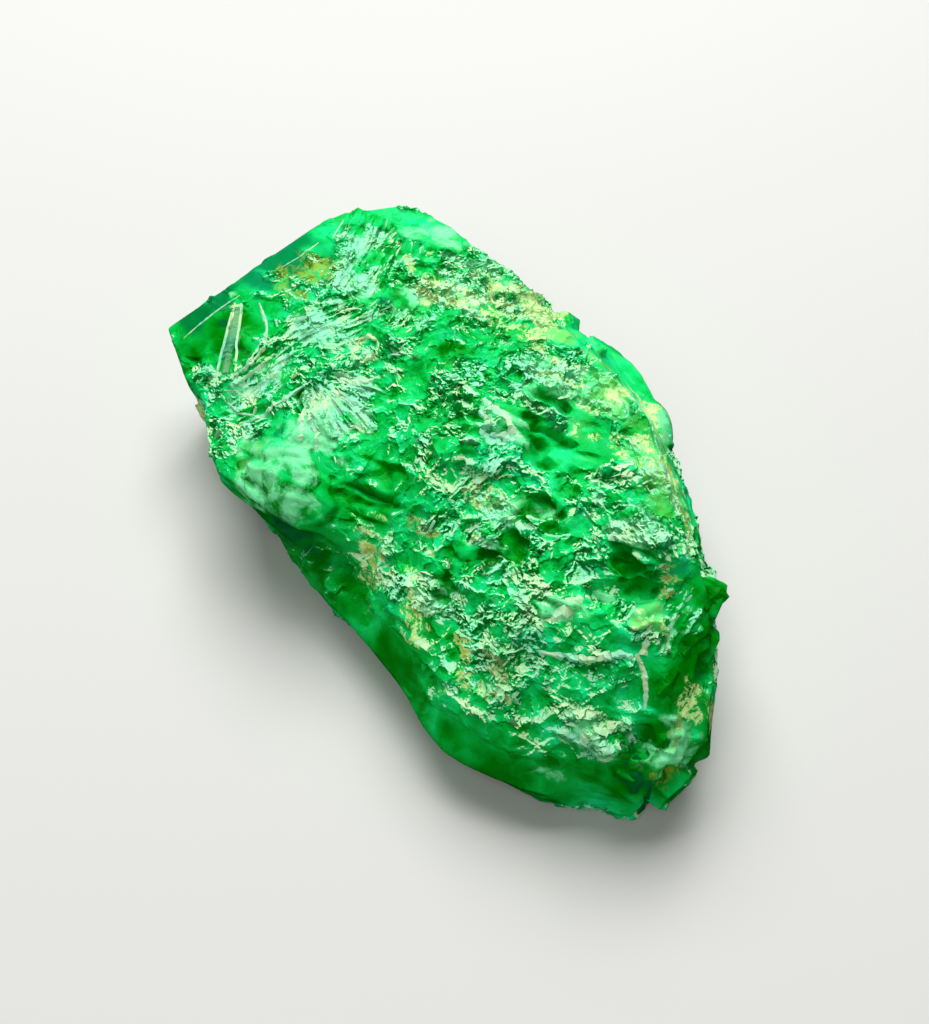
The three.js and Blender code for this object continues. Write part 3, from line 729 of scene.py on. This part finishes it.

# White flecks: splinters and bruised steps of the fracture, with painted glints on faces turned to the
# lights, drawn out along each patch's own way.
patches = add(nodes, "ShaderNodeTexVoronoi", {"Vector": swayed, "Scale": 1 / PATCH})
patch_way = add(nodes, "ShaderNodeVectorMath", {0: any_side(nodes, patches)}, operation="NORMALIZE")
from_middle = add(
    nodes, "ShaderNodeVectorMath", {0: swayed, 1: patches.outputs["Position"]}, operation="SUBTRACT"
)
along = add(nodes, "ShaderNodeVectorMath", {0: from_middle, 1: patch_way}, operation="DOT_PRODUCT")
squeeze = add(
    nodes, "ShaderNodeMath", {0: along.outputs["Value"], 1: 1 / FLECK_LENGTH - 1}, operation="MULTIPLY"
)
pull = add(nodes, "ShaderNodeVectorMath", {0: patch_way, "Scale": squeeze}, operation="SCALE")
streaked = add(nodes, "ShaderNodeVectorMath", {0: swayed, 1: pull}, operation="ADD")
streaks = add(
    nodes, "ShaderNodeTexNoise",
    {"Vector": streaked, "Scale": 1 / FLECK_WIDTH, "Detail": 3.0, "Roughness": 0.6},
)
shards = add(nodes, "ShaderNodeTexVoronoi", {"Vector": streaked, "Scale": 1 / SHARD_WIDTH})
shard_tone = add(nodes, "ShaderNodeSeparateColor", {0: shards.outputs["Color"]})
amount = weighed(nodes, marks["turned"], [
    (streaks, 1.0), (shard_tone, 0.36), (marks["hackle"], 0.3), (marks["silk"], 0.2), (marks["pale"], 0.2),
    (marks["smooth"], -1.3),
])
fleck_and_glint = add(nodes, "ShaderNodeMapRange", {"Value": amount, "From Min": 1.015, "From Max": 1.11})
tinged = add(nodes, "ShaderNodeTexNoise", {"Vector": spot, "Scale": 1 / TINT_WIDTH, "Detail": 2.0})
tinged = weighed(nodes, tinged, [(marks["silk"], -0.15)])
tinged = add(nodes, "ShaderNodeMapRange", {"Value": tinged, "From Min": 0.38, "From Max": 0.62})
white = add(
    nodes, "ShaderNodeMix", {"Factor": tinged, "A": linear("#90e6bc"), "B": linear("#c2eeb4")},
    data_type="RGBA",
)
# Between the flecks of a cluster, and on faces turned from the lights, the green is painted darker as shade,
# though not in lime parts.
painted_shade_gap = add(nodes, "ShaderNodeMapRange", {"Value": amount, "From Min": 0.98, "From Max": 0.66})
crumbly = add(
    nodes, "ShaderNodeMath", {0: marks["lime"], 1: -1.5, 2: marks["hackle"]}, operation="MULTIPLY_ADD",
    use_clamp=True,
)
painted_shade_gap = add(nodes, "ShaderNodeMath", {0: painted_shade_gap, 1: crumbly}, operation="MULTIPLY")
painted_shade_gap = add(nodes, "ShaderNodeMath", {0: painted_shade_gap, 1: 0.65}, operation="MULTIPLY")
colour = add(nodes, "ShaderNodeMix", {"Factor": painted_shade_gap, "A": colour, "B": linear("#004016")}, data_type="RGBA")
colour = add(nodes, "ShaderNodeMix", {"Factor": fleck_and_glint, "A": colour, "B": white}, data_type="RGBA")
# Splinters and ridges that stand on the skin have a whiteness of their own.
chip_share = add(nodes, "ShaderNodeMapRange", {"Value": marks["chip"], "From Min": 0.3, "From Max": 0.75})
colour = add(nodes, "ShaderNodeMix", {"Factor": chip_share, "A": colour, "B": white}, data_type="RGBA")

# Flecks are duller than clean splits, and the rough skin has a fine grit. So fine a break mirrors its own
# green, which tinges its glints.
gloss = add(nodes, "ShaderNodeMapRange", {"Value": marks["smooth"], "To Min": 0.22, "To Max": 0.12})
gloss = weighed(nodes, gloss, [(fleck_and_glint, 0.25)])
grit_share = add(nodes, "ShaderNodeMapRange", {"Value": marks["smooth"], "To Min": 0.6, "To Max": 0.05})
bump = add(nodes, "ShaderNodeBump", {"Strength": grit_share, "Distance": 0.08 * MM, "Height": streaks})
clear = add(nodes, "ShaderNodeMapRange", {"Value": marks["deep"], "To Max": 0.12})
stone = add(
    nodes, "ShaderNodeBsdfPrincipled",
    {
        "Base Color": colour, "Roughness": gloss, "IOR": 1.58, "Normal": bump, "Transmission Weight": clear,
        "Subsurface Weight": 0.2, "Subsurface Radius": (0.2, 1.0, 0.4), "Subsurface Scale": 1.0 * MM,
        "Specular IOR Level": 0.35, "Specular Tint": linear("#58ff90"),
    },
)
add(nodes, "ShaderNodeOutputMaterial", {"Surface": stone})

paint.inputs["Material"].default_value = emerald
run_tree(lump, tree, BREAK)
thin = lump.modifiers.new("thin", "DECIMATE")
lump.data.calc_loop_triangles()
thin.ratio = LUMP_TRIANGLES / len(lump.data.loop_triangles)
thin.use_collapse_triangulate = True
finish_modifiers(lump)

# Each small face of the break turns towards the lights behind the stone or away from it. Those that turn
# towards them get painted light, a paler green and more white flecks, and those that turn away get painted
# shade, a darker green.
TOWARDS_LIGHTS = away(236, 50)
PATCH_PULL = 0.7
PAINTED_LIGHT_MOST = 0.6
face_count = len(lump.data.polygons)
facing = np.empty(face_count * 3)
lump.data.polygons.foreach_get("normal", facing)
facing = facing.reshape(-1, 3)
face_corners = np.empty(face_count * 3, dtype=np.int32)
lump.data.polygons.foreach_get("vertices", face_corners)
mean_ways = {}
for name in ("even", "patch"):
    mean_way = np.empty(len(lump.data.vertices) * 3)
    lump.data.attributes[name].data.foreach_get("vector", mean_way)
    mean_way = mean_way.reshape(-1, 3)[face_corners.reshape(-1, 3)].mean(axis=1)
    mean_ways[name] = mean_way / np.maximum(np.linalg.norm(mean_way, axis=1, keepdims=True), 1e-6)
light_way = np.array(TOWARDS_LIGHTS) + PATCH_PULL * mean_ways["patch"]
turned = np.sum((facing - mean_ways["even"]) * light_way, axis=1)
turned = np.clip(turned, -PAINTED_LIGHT_MOST, PAINTED_LIGHT_MOST).astype(np.float32)
lump.data.attributes.new("turned", "FLOAT", "FACE").data.foreach_set("value", turned)
broken_skin = lump.data.copy()
settle(lump)

# Splinters, flakes and threads: bits of the same beryl that stand on the broken skin, half grown into it
# and white where they are bruised. Each is the hull of a few points, and a rule strews them over the skin.
STREWN = {
    "emerald_flakes": {
        "Where": "rough", "Density": 0.8, "Shortest": 0.4, "Longest": 1.1, "Width": 0.6, "Thickness": 0.24,
        "Lean": 0.2, "Stray": 0.6, "Sunk": 0.35, "Darkest": -0.6, "Palest": 0.5, "Seed": 1,
    },
    "emerald_splinters": {
        "Where": "hackle", "Density": 4.0, "Shortest": 0.14, "Longest": 0.6, "Width": 0.45,
        "Thickness": 0.16, "Lean": 0.3, "Stray": 0.3, "Sunk": 0.3, "Darkest": -0.2, "Palest": 1.3,
        "Seed": 2,
    },
    "emerald_threads": {
        "Where": "threads", "Density": 7.0, "Shortest": 0.5, "Longest": 2.6, "Width": 0.12,
        "Thickness": 0.05, "Lean": 0.08, "Stray": 0.1, "Sunk": 0.3, "Darkest": 0.2, "Palest": 1.2,
        "Seed": 3,
    },
}
HULLS = 6
HULL_CORNERS = 8
BOTH_WAYS = {"Min": (-1.0,) * 3, "Max": (1.0,) * 3}
tree, given, result = new_tree("strew splinters", STREWN["emerald_flakes"])
where_mark = add(tree, "GeometryNodeInputNamedAttribute", {"Name": given["Where"]})
where_share = add(tree, "ShaderNodeMapRange", {"Value": where_mark, "From Min": 0.22})
density = add(tree, "ShaderNodeMath", {0: where_share, 1: given["Density"]}, operation="MULTIPLY")
strewn = add(
    tree, "GeometryNodeDistributePointsOnFaces",
    {"Mesh": given["Geometry"], "Density": density, "Seed": given["Seed"]},
)
any_way = add(tree, "FunctionNodeRandomValue", {**BOTH_WAYS, "Seed": 5}, data_type="FLOAT_VECTOR")
leaning = add(tree, "ShaderNodeVectorMath", {0: any_way, "Scale": given["Lean"]}, operation="SCALE")
up = add(tree, "ShaderNodeVectorMath", {0: strewn.outputs["Normal"], 1: leaning}, operation="ADD")
# Each bit lies along the silky grain, or else along its patch's own way, and strays a little from it.
here = tree.nodes.new("GeometryNodeInputPosition")
swirl = add(tree, "ShaderNodeTexVoronoi", {"Vector": here, "Scale": 1 / PATCH})
swirl_part = add(tree, "ShaderNodeVectorMath", {0: any_side(tree, swirl), "Scale": 0.25}, operation="SCALE")
grain = add(tree, "GeometryNodeInputNamedAttribute", {"Name": "grain"}, data_type="FLOAT_VECTOR")
grained = add(tree, "ShaderNodeVectorMath", {0: swirl_part, 1: grain}, operation="ADD")
other_way = add(tree, "FunctionNodeRandomValue", {**BOTH_WAYS, "Seed": 6}, data_type="FLOAT_VECTOR")
straying = add(tree, "ShaderNodeVectorMath", {0: other_way, "Scale": given["Stray"]}, operation="SCALE")
forward = add(tree, "ShaderNodeVectorMath", {0: grained, 1: straying}, operation="ADD")
turn = add(
    tree, "FunctionNodeAxesToRotation", {"Primary Axis": up, "Secondary Axis": forward},
    primary_axis="Z", secondary_axis="X",
)
# Most are short.
luck = add(tree, "FunctionNodeRandomValue", {"Seed": 7})
mostly_short = add(tree, "ShaderNodeMath", {0: luck.outputs[1], 1: 2.0}, operation="POWER")
length = add(
    tree, "ShaderNodeMapRange",
    {"Value": mostly_short, "To Min": given["Shortest"], "To Max": given["Longest"]},
)
sides = []
for name, seed in (("Width", 8), ("Thickness", 9)):
    vary = add(tree, "FunctionNodeRandomValue", {"Min": 0.6, "Max": 1.4, "Seed": seed})
    side = add(tree, "ShaderNodeMath", {0: length, 1: given[name]}, operation="MULTIPLY")
    sides.append(add(tree, "ShaderNodeMath", {0: side, 1: vary.outputs[1]}, operation="MULTIPLY"))
size = add(tree, "ShaderNodeCombineXYZ", {0: length, 1: sides[0], 2: sides[1]})
sunk = add(tree, "ShaderNodeMath", {0: sides[1], 1: given["Sunk"]}, operation="MULTIPLY")
sunk = add(tree, "ShaderNodeMath", {0: sunk, 1: -1.0}, operation="MULTIPLY")
sinking = add(tree, "ShaderNodeVectorMath", {0: strewn.outputs["Normal"], "Scale": sunk}, operation="SCALE")
seated = add(tree, "GeometryNodeSetPosition", {"Geometry": strewn.outputs["Points"], "Offset": sinking})
shapes = tree.nodes.new("GeometryNodeJoinGeometry")
for number in range(HULLS):
    corner = add(
        tree, "FunctionNodeRandomValue", {**BOTH_WAYS, "Seed": 20 + number}, data_type="FLOAT_VECTOR"
    )
    corner_way = add(tree, "ShaderNodeVectorMath", {0: corner}, operation="NORMALIZE")
    on_ball = add(tree, "ShaderNodeVectorMath", {0: corner_way, "Scale": 0.5}, operation="SCALE")
    hull_points = add(tree, "GeometryNodePoints", {"Count": HULL_CORNERS, "Position": on_ball})
    hull = add(tree, "GeometryNodeConvexHull", {"Geometry": hull_points})
    shape = add(tree, "GeometryNodeGeometryToInstance", {"Geometry": hull})
    tree.links.new(shape.outputs[0], shapes.inputs[0])
which = add(tree, "FunctionNodeRandomValue", {"Min": 0, "Max": HULLS - 1, "Seed": 10}, data_type="INT")
laid = add(
    tree, "GeometryNodeInstanceOnPoints",
    {
        "Points": seated, "Instance": shapes, "Pick Instance": True, "Instance Index": which.outputs[2],
        "Rotation": turn, "Scale": size,
    },
)
whiteness = add(
    tree, "FunctionNodeRandomValue", {"Min": given["Darkest"], "Max": given["Palest"], "Seed": 11}
)
toned = add(
    tree, "GeometryNodeStoreNamedAttribute",
    {"Geometry": laid, "Name": "chip", "Value": whiteness.outputs[1]}, domain="INSTANCE",
)
real = add(tree, "GeometryNodeRealizeInstances", {"Geometry": toned})
paint = add(tree, "GeometryNodeSetMaterial", {"Geometry": real, "Material": emerald})
tree.links.new(paint.outputs[0], result["Geometry"])

for name, sizes in STREWN.items():
    piece = show(name, broken_skin.copy())
    run_tree(piece, tree, sizes)
    piece.data.name = name
    settle(piece)

# Ridges: thin edges, blades and veins of silky or cream mineral, and flat column faces, all grown together
# with the lump. Each follows the skin through a few places. Most are thickest in the middle, some thin out
# to a point, and straight ones keep their width.
RIDGE_STEP = 0.14
RIDGE_KEEL = 0.12
RIDGES = {
    "crystal's upper edge": {
        "width": 0.13, "height": 0.05, "chip": 1.0,
        "lines": (
            ((-16.8, -7.7, 7.0), (-16.9, -5.6, 7.8), (-16.8, -4.0, 8.3)),
            ((-16.6, -1.3, 9.1), (-16.5, -0.1, 9.4), (-16.8, 1.3, 9.4)),
            ((-16.5, 2.0, 9.5), (-17.5, 3.4, 9.6)),
        ),
    },
    "blade": {
        "width": 0.62, "height": 0.16, "chip": 0.42, "teal": 1.0, "straight": True,
        "lines": (((-15.9, -4.6, 8.3), (-14.3, -5.9, 8.0), (-12.8, -7.3, 7.4)),),
    },
    "blade's edges": {
        "width": 0.2, "height": 0.1, "chip": 0.85, "straight": True,
        "lines": (
            ((-15.9, -5.0, 8.2), (-15.2, -5.6, 8.1), (-12.9, -7.8, 6.8)),
            ((-16.0, -4.3, 8.4), (-14.4, -5.4, 8.2), (-12.7, -6.6, 7.9)),
        ),
    },
    "blade's top": {
        "width": 0.5, "height": 0.16, "chip": 1.0, "lines": (((-16.1, -4.6, 8.3), (-15.2, -5.4, 8.1)),),
    },
    "facet's edge": {
        "width": 0.24, "height": 0.08, "chip": 0.8, "cream": 0.5,
        "lines": (
            (
                (-15.2, -3.6, 8.7), (-13.6, -4.1, 8.8), (-12.3, -4.8, 9.1), (-11.8, -5.9, 8.7),
                (-11.7, -7.2, 7.9),
            ),
        ),
    },
    "ribs": {
        "width": 0.26, "height": 0.16, "chip": 0.95,
        "lines": (
            ((-11.9, -7.4, 7.8), (-11.6, -6.2, 8.5), (-12.0, -4.4, 9.1)),
            ((-11.3, -7.3, 7.9), (-11.1, -6.0, 8.6), (-11.1, -5.0, 9.0)),
            ((-10.4, -7.0, 7.8), (-9.9, -5.6, 8.9), (-10.6, -4.0, 9.4)),
            ((-9.2, -8.4, 7.3), (-8.6, -7.3, 8.0), (-8.0, -6.1, 8.9), (-7.9, -4.6, 9.5)),
        ),
    },
    "slivers of the fan": {
        "width": 0.42, "height": 0.1, "chip": 1.0,
        "lines": (
            ((-7.5, -4.7, 9.4), (-6.0, -5.6, 9.0), (-4.4, -6.5, 8.6)),
            ((-7.4, -4.4, 9.5), (-6.0, -4.9, 9.3), (-4.2, -5.2, 9.0)),
            ((-7.4, -4.1, 9.6), (-6.2, -4.0, 9.5), (-5.1, -3.6, 9.5)),
            ((-6.9, -3.4, 9.7), (-6.1, -2.8, 9.7), (-5.6, -1.8, 9.9)),
            ((-7.2, -5.2, 9.2), (-6.2, -6.2, 8.9), (-5.2, -6.9, 8.8)),
        ),
    },
    "drop's edge": {
        "width": 0.14, "height": 0.05, "chip": 1.0,
        "lines": (
            (
                (-12.2, -7.9, 6.9), (-11.2, -7.5, 7.6), (-10.1, -7.2, 7.7), (-9.1, -7.4, 8.0),
                (-9.1, -7.6, 7.6), (-9.6, -8.1, 7.6), (-11.3, -8.1, 7.0), (-12.2, -7.9, 6.9),
            ),
        ),
    },
    "ring": {
        "width": 0.26, "height": 0.06, "chip": 0.5, "cream": 0.9,
        "lines": (
            (
                (-7.4, -0.8, 10.6), (-6.7, -1.3, 10.4), (-7.0, -2.1, 10.1), (-7.8, -2.1, 10.0),
                (-8.3, -1.4, 10.3),
            ),
            ((-8.3, -1.4, 10.3), (-8.0, -0.9, 10.5), (-7.4, -0.8, 10.6)),
        ),
    },
    "vein": {
        "width": 0.46, "height": 0.18, "chip": 0.8, "cream": 1.0,
        "lines": (
            (
                (11.4, -4.2, 7.9), (12.2, -3.6, 8.0), (13.2, -2.7, 8.3), (14.0, -1.4, 8.6),
                (14.7, -0.9, 8.2),
            ),
        ),
    },
    "branches of the vein": {
        "width": 0.42, "height": 0.1, "chip": 0.8, "cream": 1.0, "pointed": True,
        "lines": (
            ((14.3, -1.0, 8.5), (15.0, -1.0, 8.0), (15.6, -1.3, 7.4), (16.1, -1.7, 6.7)),
            ((14.5, -0.7, 8.5), (13.9, 0.0, 9.2), (13.5, 0.6, 9.4)),
        ),
    },
    "white lumps": {
        "width": 0.8, "height": 0.16, "chip": 0.7,
        "lines": (
            ((10.8, -3.1, 8.9), (10.9, -2.1, 9.2), (11.0, -1.1, 9.3)),
            ((15.3, -4.7, 6.0), (15.7, -3.1, 6.2)),
        ),
    },
    "flaky plate": {
        "width": 0.6, "height": 0.12, "chip": 0.8,
        "lines": (
            ((-0.6, 1.1, 11.1), (1.2, 1.0, 11.2), (2.8, 0.8, 11.2)),
            ((0.0, 0.5, 11.1), (1.6, 0.3, 11.1), (2.8, 0.6, 11.1)),
            ((0.5, -0.3, 11.1), (1.8, -0.3, 11.1), (2.7, 0.2, 11.1)),
        ),
    },
    "column ends": {
        "width": 1.1, "height": 0.12, "deep": 1.0, "sunk": 0.12, "straight": True,
        "lines": (
            ((14.0, 3.1, 8.4), (13.5, 4.9, 7.8)),
            ((15.4, 1.1, 8.0), (14.6, 2.9, 7.8)),
            ((16.1, -1.0, 7.4), (15.7, 0.5, 7.7)),
        ),
    },
    "prism": {
        "width": 1.15, "height": 0.16, "deep": 0.6, "teal": 0.8, "sunk": 0.2, "straight": True,
        "lines": (
            ((17.2, -2.9, 5.3), (17.5, -2.9, 3.2), (17.6, -2.9, 1.8)),
            ((17.7, -2.2, 2.2), (17.9, -2.2, 0.4)),
        ),
    },
}


def route_over_skin(line):
    """The places on the skin along a bent line, about a step apart, and the way out of the skin at each."""
    bends = [Vector(point) for point in line]
    lengths = [(b - a).length for a, b in zip(bends, bends[1:])]
    total = sum(lengths)
    steps = max(4, round(total / RIDGE_STEP))
    route = []
    for number in range(steps + 1):
        left = total * number / steps
        part = 0
        while part < len(lengths) - 1 and left > lengths[part]:
            left -= lengths[part]
            part += 1
        near, outward, _, _ = skin.find_nearest(bends[part].lerp(bends[part + 1], left / lengths[part]))
        route.append((near, outward))
    return route


skin = BVHTree.FromPolygons(
    places_of(broken_skin).tolist(), [tuple(face.vertices) for face in broken_skin.polygons]
)
dice = random.Random(4)
corners, faces = [], []
ridge_marks = {name: [] for name in ("chip", "cream", "teal", "deep")}
for ridge in RIDGES.values():
    straight = ridge.get("straight", False)
    for line in ridge["lines"]:
        route = route_over_skin(line)
        steps = len(route) - 1
        start = len(corners)
        faces.append((start + 3, start + 2, start + 1, start))
        behind = route[0][0]
        for number, (near, outward) in enumerate(route):
            ahead = route[min(number + 1, steps)][0]
            side = (ahead - behind).cross(outward).normalized()
            done = number / steps
            if straight:
                full = 1.0
            elif ridge.get("pointed"):
                full = (1.02 - done) ** 0.5 * dice.uniform(0.6, 1.2)
            else:
                full = math.sin(math.pi * (0.08 + 0.84 * done)) ** 0.6 * dice.uniform(0.6, 1.2)
            lean = dice.uniform(-0.4, 0.4) * (not straight)
            half, rise = ridge["width"] / 2 * full, ridge["height"] * full
            crest = near + outward * rise + side * half * lean
            seat = near - outward * ridge.get("sunk", 0.0)
            first = len(corners)
            corners += [seat - side * half, crest, seat + side * half, seat - outward * RIDGE_KEEL]
            if number:
                for k in range(4):
                    m = (k + 1) % 4
                    faces.append((first - 4 + k, first - 4 + m, first + m, first + k))
            behind = seat
        faces.append((first, first + 1, first + 2, first + 3))
        for name, values in ridge_marks.items():
            values += [ridge.get(name, 0.0)] * (4 * len(route))
ridge_mesh = bpy.data.meshes.new("emerald_ridges")
ridge_mesh.from_pydata([tuple(corner) for corner in corners], [], faces)
for name, values in ridge_marks.items():
    store(ridge_mesh, name, values)
ridge_mesh.materials.append(emerald)
ridge_form = bmesh.new()
ridge_form.from_mesh(ridge_mesh)
bmesh.ops.recalc_face_normals(ridge_form, faces=ridge_form.faces)
ridge_form.to_mesh(ridge_mesh)
ridge_form.free()
settle(show("emerald_ridges", ridge_mesh))

# Floor: a plain sheet of pale board that the stone rests on. The stone doesn't mirror it, which keeps its
# greens deep.
FLOOR_SIDE = 1600
floor_half = FLOOR_SIDE / 2 * MM
floor_mesh = bpy.data.meshes.new("floor")
floor_corners = [(x * floor_half, y * floor_half, 0) for x, y in ((-1, -1), (1, -1), (1, 1), (-1, 1))]
floor_mesh.from_pydata(floor_corners, [], [(0, 1, 2, 3)])
floor = show("floor", floor_mesh)
floor.visible_glossy = False
# Uncoated grey-white board, rolled smooth: it has no shine, so it shows the stone's soft shadow alone.
board = bpy.data.materials.new("pale matt board")
board.use_nodes = True
board_face = board.node_tree.nodes["Principled BSDF"]
board_face.inputs["Base Color"].default_value = linear("#c9c9c6")
board_face.inputs["Roughness"].default_value = 0.8
floor_mesh.materials.append(board)

# Light: a large soft sheet high behind the stone and a dimmer one on the camera's side, which give no
# glints, a smaller window behind it, which does, and a pale room that the stone doesn't mirror.
LIGHTS = {
    "soft sheet": {"at": (240, 62), "distance": 260, "side": 200, "watts": 0.98, "glints": False},
    "window": {"at": (228, 44), "distance": 300, "side": 90, "watts": 0.12, "glints": True},
    "camera side": {"at": (40, 55), "distance": 320, "side": 160, "watts": 0.27, "glints": False},
}
ROOM_COLOUR = "#e2e2dd"
ROOM_STRENGTH = 0.14
for name, lamp in LIGHTS.items():
    light_data = bpy.data.lights.new(name, "AREA")
    light_data.size = lamp["side"] * MM
    light_data.energy = lamp["watts"]
    light = show(name, light_data)
    light.visible_glossy = lamp["glints"]
    towards = away(*lamp["at"])
    light.location = towards * lamp["distance"] * MM
    light.rotation_mode = "QUATERNION"
    light.rotation_quaternion = towards.to_track_quat("Z", "Y")
room = bpy.data.worlds.new("room")
bpy.context.scene.world = room
room.use_nodes = True
room.cycles_visibility.glossy = False
room.node_tree.nodes["Background"].inputs["Color"].default_value = linear(ROOM_COLOUR)
room.node_tree.nodes["Background"].inputs["Strength"].default_value = ROOM_STRENGTH
bpy.context.scene.view_settings.view_transform = "Standard"
